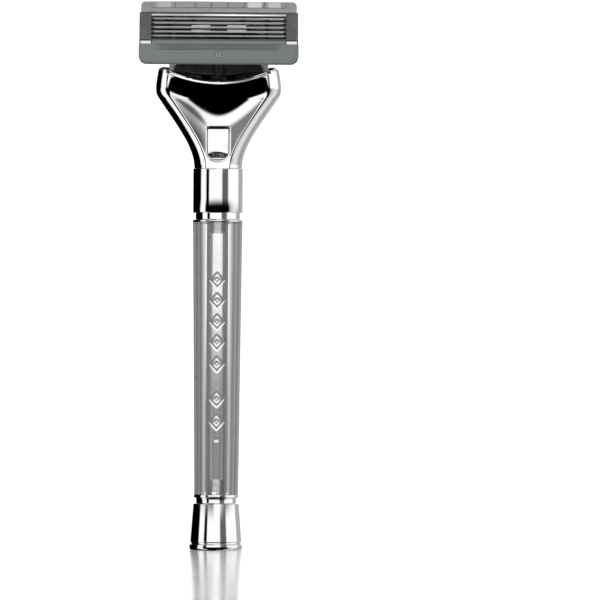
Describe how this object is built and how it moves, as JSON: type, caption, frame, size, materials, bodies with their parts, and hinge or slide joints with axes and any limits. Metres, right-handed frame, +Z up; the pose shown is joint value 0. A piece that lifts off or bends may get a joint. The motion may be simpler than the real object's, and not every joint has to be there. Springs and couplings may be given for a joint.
{
  "type": "cartridge razor",
  "caption": "Wet-shaving razor with a clear grip between chromed ends, a forked head with a release button, and a tipping blade cartridge that slides off.",
  "frame": {"origin": "middle of the foot's flat underside, on the handle's axis", "axes": "+Z up the handle towards the head, -Y out of the front that the blades and the button face, +X to the right seen from the front"},
  "size_m": [0.0422, 0.0161, 0.1446],
  "materials": {
    "chrome": "polished",
    "clear_acrylic": "polished clear",
    "stud_steel": "turned",
    "spring_steel": "drawn wire",
    "black_plastic": "satin moulded",
    "grey_plastic": "satin moulded",
    "guard_rubber": "soft matt",
    "strip_gel": "smooth",
    "blade_steel": "ground",
    "support_steel": "stamped",
    "clip_metal": "bright"
  },
  "bodies": {
    "handle": {"foot_weight": "chrome", "lower_stud": "stud_steel", "grip": "clear_acrylic", "upper_stud": "stud_steel", "collar_ring": "chrome", "neck_collar": "chrome", "head_shell": "chrome", "connector": "black_plastic", "plunger_spring": "spring_steel", "button_spring": "spring_steel"},
    "button": {"release_button": "chrome", "ejector_slider": "black_plastic"},
    "plunger": {"plunger": "black_plastic"},
    "bridge": {"bridge_yoke": "black_plastic"},
    "cartridge": {"cartridge_frame": "grey_plastic", "guard_pad": "guard_rubber", "cap": "grey_plastic", "lubricating_strip": "strip_gel", "clip_left": "clip_metal", "clip_right": "clip_metal", "blade_1": "blade_steel", "blade_2": "blade_steel", "blade_3": "blade_steel", "blade_4": "blade_steel", "blade_5": "blade_steel", "blade_support_1": "support_steel", "blade_support_2": "support_steel", "blade_support_3": "support_steel", "blade_support_4": "support_steel", "blade_support_5": "support_steel"}
  },
  "joints": [
    {"name": "button_slide", "type": "slide", "parent": "handle", "child": "button", "axis": [0, 0.225, 0.9744], "range_m": [0, 0.002], "stiffness_N_per_m": 400, "springref_m": -0.001, "deforming": ["button_spring"]},
    {"name": "plunger_slide", "type": "slide", "parent": "handle", "child": "plunger", "axis": [0, 0.342, -0.9397], "range_m": [0, 0.00221], "deforming": ["plunger_spring"]},
    {"name": "cartridge_release", "type": "slide", "parent": "handle", "child": "bridge", "axis": [0, -0.342, 0.9397], "range_m": [0, 0.012]},
    {"name": "cartridge_pivot", "type": "hinge", "parent": "bridge", "child": "cartridge", "pos_m": [0, -0.0034, 0.1308], "axis": [-1, 0, 0], "range_deg": [0, 40], "stiffness_Nm_per_rad": 0.012, "springref_deg": -17.19}
  ],
  "couplings": [
    {"joint": "plunger_slide", "follows": "cartridge_pivot", "m_per_rad": 0.003151}
  ]
}
